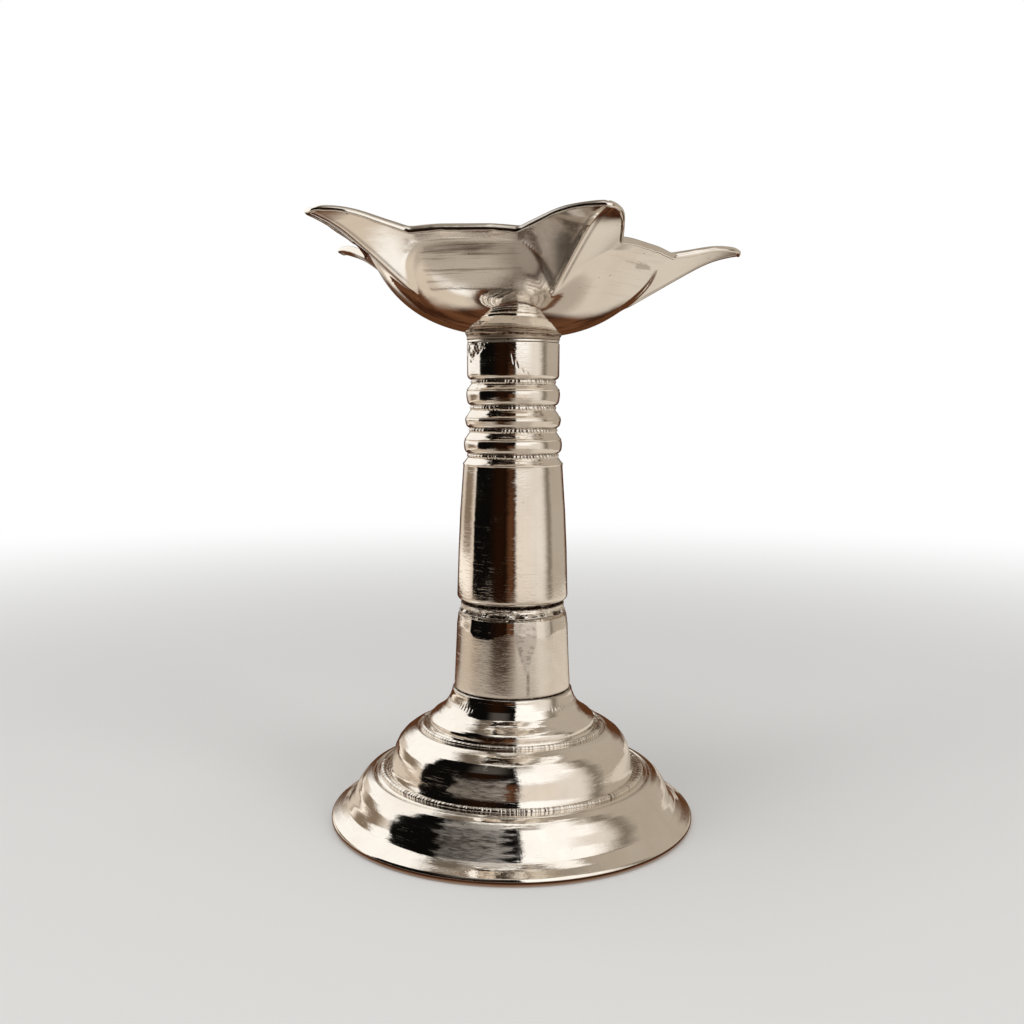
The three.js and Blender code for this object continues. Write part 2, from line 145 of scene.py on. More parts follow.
# Soft boxes and dark flags on a dome that only reflections show. Turn is 0 at the camera and grows to the
# right, heights are degrees above the dome's middle, and a later card lies on top.
studio = {
    "radius": 210, "middle": 20, "lowest": -6, "grid": (41, 97), "plain": (0.31, 0.265, 0.215),
    "ribs": (0.33, 0.012), "dimmest": 0.96,
    "cards": {
        "rightWall": (115, 40, -25, 62, 14, 8, (0.45, 0.385, 0.31)),
        "leftBox": (-124, 37, 6, 58, 6, 6, (1.05, 1.01, 0.95)),
        "leftWall": (-114, 32, -25, 8, 12, 4, (0.72, 0.61, 0.5)),
        "leftLow": (-124, 26, -25, -1.5, 8, 2, (1.02, 0.92, 0.8)),
        "leftBand": (-114, 16, -1, 9.5, 8, 2.5, (0.24, 0.18, 0.125)),
        "brown": (177, 31, -25, 15, 9, 4, (0.1, 0.038, 0.015)),
        "flag": (-41, 49, -25, 61, 2.5, 4, (0.0035, 0.003, 0.0025)),
        "gap": (-27, 15, -25, 36, 13, 8, (0.014, 0.005, 0.002)),
        "gapTop": (-27, 18, 36, 57, 10, 6, (0.075, 0.066, 0.057)),
        "glow": (-3, 7, -25, 11, 6, 4, (0.1, 0.04, 0.017)),
        "key": (29, 22, 8, 54, 2, 8, (1.12, 1.09, 1.04)),
        "keyLow": (28, 21, -25, 10, 5, 6, (0.8, 0.705, 0.605)),
        "keySide": (57, 16, -25, 54, 12, 5, (0.8, 0.73, 0.65)),
        "keyHigh": (46, 18, 22, 62, 8, 5, (1.12, 1.08, 1.02)),
        "slit": (83, 6, -25, 50, 7, 6, (0.22, 0.185, 0.145)),
        "front": (28, 86, 62, 73, 9, 2.5, (1.08, 1.03, 0.96)),
        "left": (-98, 38, 61, 71, 9, 2.5, (0.15, 0.12, 0.09)),
        "top": (0, 181, 79, 95, 1, 3, (0.86, 0.82, 0.75)),
    },
}


# A dome over turn and lift: radius * (sin turn cos lift, -cos turn cos lift, sin lift).
def makeDome(s):
    rows, columns = s["grid"]
    sides, lifts = np.linspace(-np.pi, np.pi, columns), np.radians(np.linspace(s["lowest"], 90, rows))
    turn, lift = np.meshgrid(sides, lifts)
    x, y = s["radius"] * np.sin(turn) * np.cos(lift), -s["radius"] * np.cos(turn) * np.cos(lift)
    points = np.stack([x, y, s["middle"] + s["radius"] * np.sin(lift)], -1).reshape(-1, 3)
    return meshObject("studio_dome", points * mm, gridFaces(rows, columns), flip=True)


# Quads between neighbouring points of a grid, closed round either way on request.
def gridFaces(rows, columns, closeRows=False, closeColumns=False):
    i = np.arange(rows if closeRows else rows - 1)[:, None]
    j = np.arange(columns if closeColumns else columns - 1)
    here, after, right = i * columns, (i + 1) % rows * columns, (j + 1) % columns
    return np.stack([here + j, here + right, after + right, after + j], -1).reshape(-1, 4)


# Triangles from a pole to a closed row of points.
def fanFaces(pole, first, count):
    j = np.arange(count)
    return np.stack([np.full(count, pole), first + j, first + (j + 1) % count], 1)


# Puts points, quads, values for each point and a fan of triangles into a mesh. Unless told, it turns the
# faces where they enclose a negative volume.
def meshObject(name, points, faces, values=None, fan=np.empty((0, 3), int), flip=None):
    if flip is None:
        triangles = np.vstack([faces[:, [0, 1, 2]], faces[:, [0, 2, 3]], fan])
        a, b, c = (points[triangles[:, k]] for k in range(3))
        flip = np.einsum("ij,ij->", a, np.cross(b, c)) < 0
    order = slice(None, None, -1 if flip else 1)
    mesh = bpy.data.meshes.new(name)
    mesh.from_pydata(points.tolist(), [], faces[:, order].tolist() + fan[:, order].tolist(), shade_flat=False)
    for key, value in (values or {}).items():
        value = np.asarray(value, np.float32)
        kind, field = ("FLOAT", "value") if value.ndim == 1 else ("FLOAT_VECTOR", "vector")
        mesh.attributes.new(key, kind, "POINT").data.foreach_set(field, value.ravel())
    mesh.update()
    return newObject(name, mesh)


dome = makeDome(studio)
dome.visible_camera = dome.visible_diffuse = dome.visible_transmission = dome.visible_shadow = False


# The cards with faint upright ribs of noise across them.
def paintDome(s):
    material, tools = newMaterial("studio_dome")
    make, calc, _, noise, _ = tools
    turn, flat, height = polar(tools, make("TexCoord").outputs["Object"])
    above = calc("-", height, s["middle"] * mm)
    lift = calc("*", calc("ARCTAN2", above, flat), 180 / math.pi)
    colour = layCards(tools, s["plain"], s["cards"], turn, lift)
    ribs = {0: calc("*", turn, s["ribs"][0]), 1: calc("*", lift, s["ribs"][1])}
    ribs = noise(make("CombineXYZ", ribs).outputs[0], 1, 3, 0.6)
    power = make("MapRange", {0: ribs, 1: 0.3, 2: 0.6, 3: s["dimmest"], 4: 1}).outputs[0]
    glow = make("Emission", {0: colour, 1: power})
    make("OutputMaterial", {"Surface": glow.outputs[0]})
    return material


dome.data.materials.append(paintDome(studio))


# The floor is pale to the camera, keeps the lamp's shadow and fades into the white background. To
# reflections it glows instead: a painted reflection of brown cloth with cards of painted light and shade laid
# on it from near to far, in millimetres.
floorSet = {
    "radius": 1500, "grid": (59, 96), "shade": (0.87, 0.86, 0.84), "fadeFrom": 0.07, "fadeTo": 0.36,
    "brown": (0.13, 0.052, 0.023), "dark": (0.045, 0.016, 0.007), "cloudScale": 22,
    "cards": {
        "front": (12, 138, 30, 900, 7, 2, (0.47, 0.405, 0.335)),
        "leftCard": (-110, 26, 32, 92, 12, 7, (0.68, 0.58, 0.47)),
        "leftSpot": (-88, 12, 32, 56, 7, 7, (1, 0.965, 0.905)),
        "rightCard": (98, 50, 52, 900, 10, 12, (0.67, 0.595, 0.5)),
        "leftFar": (-92, 26, 105, 900, 10, 12, (0.54, 0.43, 0.33)),
        "shade": (-23, 22, 102, 900, 13, 14, (0.045, 0.022, 0.01)),
        "flag": (-66, 15, 175, 900, 7, 15, (0.012, 0.008, 0.006)),
        "bare": (0, 181, -9, 24, 1, 0.8, (0.37, 0.23, 0.15)),
    },
}


# A flat disc over radius and turn, its radii spaced as squares.
def makeFloor(s):
    rows, columns = s["grid"]
    radius = s["radius"] * (np.arange(1, rows + 1) / rows) ** 2
    turn = np.linspace(0, 2 * np.pi, columns, endpoint=False)
    r, t = np.meshgrid(radius, turn, indexing="ij")
    ring = np.stack([r * np.cos(t), r * np.sin(t), np.zeros_like(r)], -1).reshape(-1, 3) * mm
    fan, faces = fanFaces(len(ring), 0, columns), gridFaces(rows, columns, closeColumns=True)
    return meshObject("floor", np.vstack([ring, [[0, 0, 0]]]), faces, fan=fan, flip=False)


def paintFloor(s):
    material, tools = newMaterial("floor")
    make, calc, ease, noise, mix = tools
    spot = make("TexCoord").outputs["Object"]
    turn, reach, _ = polar(tools, spot)
    clouds = ease(noise(spot, s["cloudScale"], 2), 0.4, 0.6)
    brown = mix(clouds, s["brown"], s["dark"])
    mirrored = layCards(tools, brown, s["cards"], turn, calc("*", reach, 1000))
    rays = make("LightPath").outputs
    fade = ease(reach, s["fadeFrom"], s["fadeTo"])
    matte = make("BsdfDiffuse", {"Color": (*s["shade"], 1)})
    white = make("Emission", {0: (1, 1, 1, 1), 1: 1})
    # The floor's glow for reflections: painted brown cloth with cards of painted light and shade.
    image = make("Emission", {0: mirrored, 1: 1})
    fading = calc("*", fade, rays["Is Camera Ray"])
    plain = make("MixShader", {0: fading, 1: matte.outputs[0], 2: white.outputs[0]})
    mixed = make("MixShader", {0: rays["Is Glossy Ray"], 1: plain.outputs[0], 2: image.outputs[0]})
    make("OutputMaterial", {"Surface": mixed.outputs[0]})
    material.cycles.emission_sampling = "NONE"
    return material


floor = makeFloor(floorSet)
floor.data.materials.append(paintFloor(floorSet))


# Plain soft lamps, one overhead and one to each side: (size, power, place, aim).
lampSet = {
    "lamp_top": ((300, 300), 0.55, (-60, -80, 420), (0, 0, 30)),
    "lamp_right": ((160, 220), 0.30, (280, -220, 180), (0, 0, 40)),
    "lamp_left": ((120, 220), 0.18, (-300, -160, 150), (0, 0, 40)),
}

for name, (size, power, place, aim) in lampSet.items():
    light = bpy.data.lights.new(name, "AREA")
    light.shape = "RECTANGLE"
    light.size, light.size_y = size[0] * mm, size[1] * mm
    light.energy = power
    lamp = newObject(name, light)
    lamp.location = [v * mm for v in place]
    lamp.rotation_euler = (Vector(aim) - Vector(place)).to_track_quat("-Z", "Y").to_euler()
    lamp.visible_glossy = lamp.visible_camera = False
print("camera, dome, floor and lamps made")


# Each piece changes what it needs to.
# Tarnish is the dark colour of real tarnish and of painted shade alike.
silverBase = {
    "tint": (0.96, 0.93, 0.885), "shadeTint": (0.90, 0.856, 0.80), "tarnishAndShade": (0.085, 0.042, 0.024),
    "smooth": 0.028, "rough": 0.085, "cloud": 0.11, "lined": (0.42, 0.37, 0.32), "lining": 0,
    "streak": 0.1, "streakFine": 9, "brush": 0.08, "line": 0.064,
    "hammer": 0.025, "hammerScale": 0.2, "ripple": 0.006, "rippleScale": 0.9, "peel": 0.007,
    "scratch": 0.0015, "scratchLight": 0.14, "pits": 0.42, "pitScale": 0.9, "pitSize": 0.075,
    "pitDepth": 0.03, "satinRough": 0.16, "dirtRough": 0.22, "wornRough": 0.36, "turned": False,
}


# Silver: a tint that drifts with cloudy noise and darkens to tarnish where the dirt channel is high, and that
# channel holds real dirt and painted shade alike. The normal leans along and across the lay by long streaks,
# then come bumps for hammering, ripples, scratches and pits. Fine lines, scratches and worn patches are
# rougher. A piece without values of its own counts as turned about Z.
def makeSilver(name, changes):
    s = {**silverBase, **changes}
    material, (make, calc, ease, noise, mix) = newMaterial(name)

    def vector(step, inputs):
        return make("VectorMath", inputs, operation=step).outputs[0]

    def bump(height, distance, normal, invert=False):
        inputs = {"Distance": distance * mm, "Height": height, "Normal": normal}
        return make("Bump", inputs, invert=invert).outputs[0]

    place = make("Mapping", {0: make("TexCoord").outputs["Object"], "Scale": (1000, 1000, 1000)}).outputs[0]
    axes = make("SeparateXYZ", {0: place}).outputs
    keys = ("along", "dirtAndShade", "satin", "worn")
    along, dirtAndShade, satin, worn = (make("Attribute", attribute_name=key).outputs["Fac"] for key in keys)
    lay = make("Attribute", attribute_name="lay").outputs["Vector"]
    if s["turned"]:
        along = axes[2]
        lay = vector("CROSS_PRODUCT", {0: (0, 0, 1), 1: place})
    toWorld = {"vector_type": "NORMAL", "convert_from": "OBJECT", "convert_to": "WORLD"}
    lay = make("VectorTransform", {0: lay}, **toWorld).outputs[0]
    normal = make("NewGeometry").outputs["Normal"]
    across = vector("CROSS_PRODUCT", {0: normal, 1: lay})
    cloudy = ease(noise(place, s["cloud"], 5, 0.6), 0.38, 0.66)

    def stretched(share, fine):
        parts = [calc("*", axes[k], share) for k in (0, 1)] + [calc("*", along, fine)]
        return make("CombineXYZ", dict(enumerate(parts))).outputs[0]

    here = ease(noise(place, 0.35, 2), 0.35, 0.65, 0.3, 1.3)
    fineStreak = noise(stretched(0.8, s["streakFine"]), 1, 3, 0.65)
    wideStreak = noise(stretched(0.25, s["streakFine"] / 4), 1, 2)
    bothStreaks = calc("*", calc("+", fineStreak, wideStreak), 0.5)
    turnBy = calc("*", calc("-", bothStreaks, 0.5), calc("*", here, s["streak"]))
    brushing = calc("*", calc("+", satin, 0.15), s["brush"])
    liftBy = calc("*", calc("-", wideStreak, 0.5), brushing)
    for direction, amount in ((lay, turnBy), (across, liftBy)):
        normal = vector("ADD", {0: normal, 1: vector("SCALE", {0: direction, "Scale": amount})})
    normal = vector("NORMALIZE", {0: normal})
    normal = bump(noise(place, s["hammerScale"], 2, 0.45), s["hammer"], normal)
    normal = bump(noise(place, s["rippleScale"], 3, 0.55), s["ripple"], normal)

    # Short wavy dimples lie along the lay, and scratches are the peaks of noise drawn out along it.
    normal = bump(noise(stretched(1.5, 5), 1, 2), s["peel"], normal)
    marks = ease(noise(stretched(0.2, 13), 1, 1), 0.63, 0.69)
    marks = calc("*", marks, ease(noise(place, 0.5, 2), 0.44, 0.56))
    normal = bump(marks, s["scratch"], normal, invert=True)

    cells = make("TexVoronoi", {"Vector": place, "Scale": s["pitScale"]})
    chance = make("SeparateXYZ", {0: cells.outputs["Color"]}).outputs
    size = calc("*", calc("POWER", chance[1], 2), s["pitSize"])
    pit = calc("-", 1, ease(cells.outputs["Distance"], 0, calc("+", size, 0.015)))
    pit = calc("*", pit, calc("LESS_THAN", chance[0], s["pits"]))
    normal = bump(pit, s["pitDepth"], normal, invert=True)

    # The dirt channel, made patchy and joined by the pits: real dirt and painted shade, both drawn in
    # tarnish.
    patchy = calc("-", ease(noise(place, 2.2, 4, 0.7), 0.3, 0.62, 0.3, 1.25), 1)
    patchy = calc("*", patchy, ease(dirtAndShade, 0.4, 0.7))
    grimeAndShade = calc("*", dirtAndShade, calc("+", patchy, 1))
    grimeAndShade = calc("MAXIMUM", grimeAndShade, calc("*", pit, 0.92), clamp=True)
    pale = mix(cloudy, s["tint"], s["shadeTint"])
    longLines = noise(stretched(0.1, 3.4), 1, 3, 0.6)
    lined = calc("*", calc("*", satin, s["lining"]), ease(longLines, 0.5, 0.68), clamp=True)
    colour = mix(grimeAndShade, mix(lined, pale, s["lined"]), s["tarnishAndShade"])
    fineLines = ease(fineStreak, 0.54, 0.72)
    rough = ease(cloudy, 0, 1, s["smooth"], s["rough"])
    wornHere = calc("*", worn, ease(fineStreak, 0.35, 0.6, 0.55, 1))
    rougher = (
        (satin, s["satinRough"]), (grimeAndShade, s["dirtRough"]), (marks, s["scratchLight"]),
        (fineLines, s["line"]), (wornHere, s["wornRough"]),
    )
    for amount, share in rougher:
        rough = calc("+", rough, calc("*", amount, share), clamp=True)
    surface = {"Base Color": colour, "Metallic": 1, "Roughness": rough, "Normal": normal}
    shader = make("BsdfPrincipled", surface)
    make("OutputMaterial", {"Surface": shader.outputs[0]})
    return material


# Even samples along straight runs between corners, averaged with a bell that rounds the corners.
def roundedLine(corners, soft, step=0.02):
    corners = np.asarray(corners, float)
    along = np.r_[0, np.cumsum(np.linalg.norm(np.diff(corners, axis=0), axis=1))]
    even = np.linspace(0, along[-1], max(int(along[-1] / step), 8))
    line = np.stack([np.interp(even, along, corners[:, k]) for k in (0, 1)], 1)
    half = int(np.ceil(3 * soft / step))
    bell = np.exp(-0.5 * (np.arange(-half, half + 1) * step / soft) ** 2)
    padded = np.pad(line, ((half, half), (0, 0)), mode="reflect", reflect_type="odd")
    return np.stack([np.convolve(padded[:, k], bell / bell.sum(), mode="valid") for k in (0, 1)], 1)


# One row for each spacing of length or bend of turning, and closer in fine bands of (low, high, spacing).
def spreadRows(line, spacing, bend, fine=()):
    run = np.diff(line, axis=0)
    length = np.linalg.norm(run, axis=1)
    heading = np.unwrap(np.arctan2(run[:, 1], run[:, 0]))
    turning = np.abs(np.diff(heading, prepend=heading[0]))
    density = np.full(len(length), 1 / spacing)
    for low, high, closer in fine:
        density[(line[1:, 1] > low) & (line[1:, 1] < high)] = 1 / closer
    weight = np.r_[0, np.cumsum(length * density + turning / bend)]
    at = np.interp(np.linspace(0, weight[-1], int(np.ceil(weight[-1])) + 1), weight, np.arange(len(line)))
    return np.stack([np.interp(at, np.arange(len(line)), line[:, k]) for k in (0, 1)], 1)


# Smooth noise: random values from 0 to 1 on a lattice, eased between neighbours, where u repeats.
def lattice(u, v, seed, period):
    values = np.random.default_rng(seed).random((period, 64))
    i, j = np.floor(u).astype(int), np.floor(v).astype(int)
    a, b = u - i, v - j
    a, b = a * a * (3 - 2 * a), b * b * (3 - 2 * b)
    corner = [values[(i + m) % period, (j + n) % 64] for m in (0, 1) for n in (0, 1)]
    return (corner[0] * (1 - b) + corner[1] * b) * (1 - a) + (corner[2] * (1 - b) + corner[3] * b) * a


# Noise round a turned piece: count cells round, each tall millimetres along the outline, and finer copies.
def roundNoise(turn, along, seed, count, tall, copies=3):
    total, weight = 0, 0
    for k in range(copies):
        u = (turn / (2 * np.pi) + 0.5) % 1 * count * 2 ** k
        total = total + lattice(u, along / tall * 2 ** k + 11 * k, seed + k, count * 2 ** k) / 1.7 ** k
        weight += 1 / 1.7 ** k
    return total / weight


# A row of marks round a ring, each with its own width and height: height * (1 - distance from middle ** 2).
def chaseMarks(turn, count, seed, spread):
    rng = np.random.default_rng(seed)
    ends = np.r_[0, np.cumsum(rng.uniform(1 - spread, 1 + spread, count))]
    phase = np.interp((turn / (2 * np.pi) + 0.5) % 1, ends / ends[-1], np.arange(count + 1))
    height = rng.uniform(0.8 - spread, 1.0, count)[np.minimum(phase.astype(int), count - 1)]
    return height * (1 - (2 * (phase % 1) - 1) ** 2)


def ease(value, low, high):
    t = np.clip((value - low) / (high - low), 0, 1)
    return t * t * (3 - 2 * t)


def fall(value, low, high):
    return 1 - ease(value, low, high)


def turnsRound(columns):
    return np.linspace(-np.pi, np.pi, columns, endpoint=False)[None]


# A closed ring of rows: (radius sin turn, -radius cos turn, height), with the lay along the turn.
def ringMesh(name, radius, height, turn, values):
    points = np.stack([radius * np.sin(turn), -radius * np.cos(turn), height], -1)
    flat = np.zeros(points.shape[:2])
    given = {key: (value + flat).ravel() for key, value in values.items()}
    given["lay"] = np.stack([np.cos(turn) + flat, np.sin(turn) + flat, flat], -1).reshape(-1, 3)
    return meshObject(name, points.reshape(-1, 3) * mm, gridFaces(*flat.shape, True, True), given)


# A turned piece: the outline (radius, height) carried round the axis and moved along its normal by
# unevenness and marks. Marks gives relief, dirt, satin and worn from turn, height and way along.
def turnedPiece(name, s):
    outside = spreadRows(roundedLine(s["outside"], s["soft"]), s["spacing"], s["bend"], s.get("fine", ()))
    outline = np.vstack([outside, s["inside"]])
    along = np.r_[0, np.cumsum(np.linalg.norm(np.diff(outline, axis=0), axis=1))][:, None]
    turn = turnsRound(s["columns"])
    slope = np.gradient(outline, axis=0)
    normal = np.stack([slope[:, 1], -slope[:, 0]], 1)
    normal /= np.maximum(np.linalg.norm(normal, axis=1, keepdims=True), 1e-9)
    row = np.arange(len(outline))
    fade = np.clip(np.minimum(row, len(outside) - 1 - row) / 3, 0, 1)[:, None]
    r, z = outline[:, :1], outline[:, 1:]
    relief = s["uneven"] * (roundNoise(turn, along, s["seed"], s.get("lumps", 12), 4.0) - 0.5) * 2
    dirtAndShade = satin = worn = 0 * relief
    if "marks" in s:
        more, stainAndShade, matt, rub = s["marks"](turn + 0 * z, z + 0 * turn, along + 0 * turn)
        relief, dirtAndShade, satin, worn = relief + more, np.maximum(dirtAndShade, stainAndShade), satin + matt, worn + rub
    relief, dirtAndShade = relief * fade, np.clip(dirtAndShade, 0, 1) * fade
    radius, height = r + normal[:, :1] * relief, np.maximum(z + normal[:, 1:] * relief, outline[:, 1].min())
    values = dict(along=along, dirtAndShade=dirtAndShade, satin=satin, worn=worn)
    return ringMesh(name, radius, height + 0 * turn, turn, values)


# Columns to a mark and rows round a chased row's section.
beadSet = {"columns": 7, "rows": 16}


# A chased row is a closed ring of its own in a groove: an oval section whose size follows the marks.
def beadRow(name, s):
    turn = turnsRound(s["count"] * beadSet["columns"])
    about = np.linspace(0, 2 * np.pi, beadSet["rows"], endpoint=False)[:, None]
    marks = chaseMarks(turn, s["count"], s["seed"], s["spread"])
    marks = marks * (0.75 + 0.5 * roundNoise(turn, about * 0, s["seed"] + 5, 24, 1))
    patches = ease(roundNoise(turn, about * 0, s["seed"] + 6, s["patches"], 1), 0.35, 0.65)
    deep = s["depth"] * (0.25 + 0.75 * patches)
    size = 1 - deep * (1 - np.clip(marks, 0, 1))
    out, up = s["size"][0] * np.cos(about) * size, s["size"][1] * np.sin(about) * (0.6 + 0.4 * size)
    tilt = math.radians(s["tilt"])
    radius = s["radius"] + out * math.cos(tilt) - up * math.sin(tilt)
    height = s["height"] + out * math.sin(tilt) + up * math.cos(tilt)
    dirtAndShade = s["dirtAndShade"] * ease(1 - marks + 0 * radius, 0.6, 1.0) * deep / s["depth"]
    values = {"along": s["size"][1] * about, "dirtAndShade": dirtAndShade, "satin": 0, "worn": 0}
    return ringMesh(name, radius, height, turn, values)


# Rubbed places are (middle, half width, low, high), and the first two are seen. Punched marks and hammered
# facets run round the flare.
baseMarkSet = {
    "rubbed": ((-13, 11, 1.9, 5.7), (-14, 13, 7.2, 9.6), (118, 16, 2.1, 5.4), (-150, 18, 7.3, 10.2)),
    "rub": 1.3, "rubRagged": 9, "punched": (15.9, 0.16, 0.32), "punches": 96, "punchDepth": 0.045,
    "punchDirt": 0.15, "facets": (14.3, 0.75), "facetDepth": 0.12, "seam": (17.25, 17.5),
}


def baseMarks(turn, z, along):
    s = baseMarkSet
    worn = 0
    for middle, half, low, high in s["rubbed"]:
        ragged = s["rubRagged"] * (roundNoise(turn, along, 15, 40, 0.1, 2) - 0.5)
        aside = np.abs(np.degrees(turn) - middle + ragged)
        band = ease(z, low - 0.2, low + 0.2) * fall(z, high - 0.3, high + 0.3)
        worn = worn + s["rub"] * fall(aside, half - 2, half + 3) * band
    middle, near, far = s["punched"]
    upright = 0.5 + 0.5 * np.cos(s["punches"] * turn + 0.8 * np.sin(5 * turn))
    groups = ease(roundNoise(turn, 0 * z, 17, 9, 1, 1), 0.4, 0.6)
    punched = fall(np.abs(z - middle), near, far) * ease(upright, 0.75, 0.95) * groups
    middle, half = s["facets"]
    facets = np.exp(-((z - middle) / half) ** 2) * (roundNoise(turn, along, 18, 16, 0.42, 3) - 0.5)
    seam = ease(z, *s["seam"]) * roundNoise(turn, along, 19, 40, 0.5)
    relief = s["facetDepth"] * facets - s["punchDepth"] * punched
    return relief, np.maximum(s["punchDirt"] * punched, seam), 0 * z, worn


baseShape = {
    "outside": [
        (23.2, 0), (23.6, 0), (23.92, 0.16), (24.12, 0.42), (24.13, 0.72), (23.95, 0.98), (23.5, 1.16),
        (22.8, 1.45), (21.95, 2.05), (21.25, 3.1), (20.65, 4.3), (20.05, 5.2), (19.4, 5.85), (18.8, 6.17),
        (18.45, 6.22), (18.25, 6.05), (18.05, 6), (17.9, 6.12), (17.6, 6.2), (16.9, 6.2), (16.6, 6.35),
        (16.5, 6.62), (16.34, 6.92), (16.2, 7.15), (16.1, 7.5), (15.9, 8.4), (15.62, 9.4), (15.18, 10.35),
        (14.5, 11.2), (13.55, 11.9), (12.75, 12.27), (12.5, 12.28), (12.36, 12.22), (12.2, 12.28),
        (11.7, 12.3), (11.35, 12.36), (11.2, 12.6), (11.1, 12.75), (11.08, 13.1), (11, 13.5),
        (10.6, 13.92), (9.8, 14.42), (9, 15.1), (8.4, 16), (8.05, 16.9), (7.97, 17.36), (7.85, 17.48),
        (7.6, 17.5),
    ],
    "inside": [
        (2.55, 17.5), (2.55, 16.65), (7.1, 16.65), (7.3, 16), (8.2, 14.6), (10.2, 13.1), (10.3, 12),
        (12.7, 11.35), (14.2, 10.4), (15, 9), (15.2, 6.4), (15.4, 5.9), (17.6, 5.3), (19.7, 4),
        (21.1, 1.7), (23.2, 0.75), (23.3, 0.4),
    ],
    "soft": 0.06, "spacing": 0.6, "bend": 0.17, "columns": 640, "uneven": 0.02, "seed": 11,
    "marks": baseMarks, "fine": ((1.9, 5.8, 0.28), (14.2, 16.3, 0.16)),
}
lowRow = {
    "radius": 17.2, "height": 6.42, "size": (0.46, 0.44), "tilt": 48, "count": 250, "patches": 40,
    "seed": 12, "spread": 0.65, "depth": 0.2, "dirtAndShade": 0.95,
}
highRow = {
    **lowRow, "radius": 11.86, "height": 12.46, "size": (0.38, 0.36), "tilt": 52, "count": 165,
    "patches": 30, "seed": 13,
}
base = turnedPiece("base", baseShape)
baseRows = [beadRow("base_low_row", lowRow), beadRow("base_high_row", highRow)]


# Below its polished top band the lower barrel is satin, with a stained wedge that trails off downwards.
lowerMarkSet = {
    "edge": 25.6, "edgeRagged": 2.0, "lean": 0.115, "satin": 0.5, "wedgeAt": 14, "wedgeWidth": 9,
    "wedgeFoot": (20.2, 22), "wedgeSpread": (20.5, 26), "trail": (17.6, 18.2), "trailTop": (20.6, 21.4),
    "seam": (17.6, 17.85),
}


def lowerMarks(turn, z, along):
    s = lowerMarkSet
    edge = s["edge"] + s["edgeRagged"] * (roundNoise(turn, 0 * z, 22, 15, 1, 3) - 0.5)
    lean = s["lean"] * np.clip(z - edge, 0, None)
    satin = s["satin"] * fall(z, edge - 0.1, edge + 0.1)
    side = np.degrees(turn) - s["wedgeAt"]
    ragged = np.abs(side + 3 * (roundNoise(turn, along, 23, 60, 0.4) - 0.5))
    width = s["wedgeWidth"] * ease(z, *s["wedgeSpread"])
    wedge = fall(ragged, width + 1, width + 4) * ease(z, *s["wedgeFoot"])
    trail = fall(np.abs(side - 1.5), 0.5, 2.5) * fall(z, *s["trailTop"]) * ease(z, *s["trail"])
    spots = roundNoise(turn, along, 24, 90, 0.22)
    cloudy = roundNoise(turn, along, 25, 30, 0.9)
    stainAndShade = wedge * (0.18 + 0.3 * ease(spots, 0.5, 0.75)) + trail * (0.15 + 0.45 * ease(cloudy, 0.4, 0.65))
    seam = fall(z, *s["seam"]) * 0.9
    relief = -0.02 * trail * ease(spots, 0.5, 0.7) - lean
    return relief, np.maximum(stainAndShade, seam), satin + 0.4 * wedge, 0.5 * wedge + 0.2 * satin


lowerShape = {
    "outside": [
        (7.0, 17.55), (7.6, 17.55), (7.7, 17.66), (7.71, 18.0), (7.5, 22.6), (7.39, 25.4), (7.36, 26.8),
        (7.36, 27.46), (7.32, 27.58), (7.2, 27.65), (6.6, 27.65),
    ],
    "inside": [(2.55, 27.65), (2.55, 26.35), (3.6, 26.35), (3.6, 17.55)], "soft": 0.04, "spacing": 0.12,
    "bend": 0.2, "columns": 480, "uneven": 0.014, "seed": 21, "marks": lowerMarks,
}
lowerStem = turnedPiece("lower_barrel", lowerShape)


# The joint's ring is rough, with broken ledges and dark gaps, and a painted shadow under the upper barrel.
# Gap and groove are (height, width).
ringMarkSet = {
    "ledge": 0.34, "gap": (28.12, 0.16), "gapDepth": 0.36, "groove": (27.86, 0.09), "grooveDepth": 0.16,
    "shadow": (28.78, 28.98),
}


def ringMarks(turn, z, along):
    s = ringMarkSet
    ledges = roundNoise(turn, z / 0.5, 32, 44, 0.55)
    chips = ease(roundNoise(turn, z / 0.4, 33, 30, 0.6, 2), 0.55, 0.72)
    chips = np.maximum(chips, ease(roundNoise(turn, 0 * z, 34, 24, 1, 2), 0.5, 0.6))
    gap, groove = (np.exp(-((z - height) / width) ** 2) for height, width in (s["gap"], s["groove"]))
    gap = gap * chips
    relief = s["ledge"] * (ledges - 0.5) - s["gapDepth"] * gap - s["grooveDepth"] * groove
    # The top band under the upper barrel's foot is a painted shadow.
    stainAndShade = np.maximum(np.maximum(gap, 0.85 * groove), ease(z, *s["shadow"]))
    return relief, stainAndShade, 0.2 + 0 * z, 0.15 * ledges


ringShape = {
    "outside": [
        (6.3, 27.7), (6.95, 27.7), (7.08, 27.76), (7.1, 27.9), (6.9, 28.1), (6.8, 28.25), (6.8, 28.5),
        (6.84, 28.8), (6.8, 28.98), (6.6, 29.06), (6.3, 29.12), (6.2, 29.26),
    ],
    "inside": [(3.6, 29.26), (3.6, 27.7)], "soft": 0.03, "spacing": 0.045, "bend": 0.3, "columns": 560,
    "uneven": 0.02, "seed": 31, "marks": ringMarks,
}
jointRing = turnedPiece("chased_ring", ringShape)

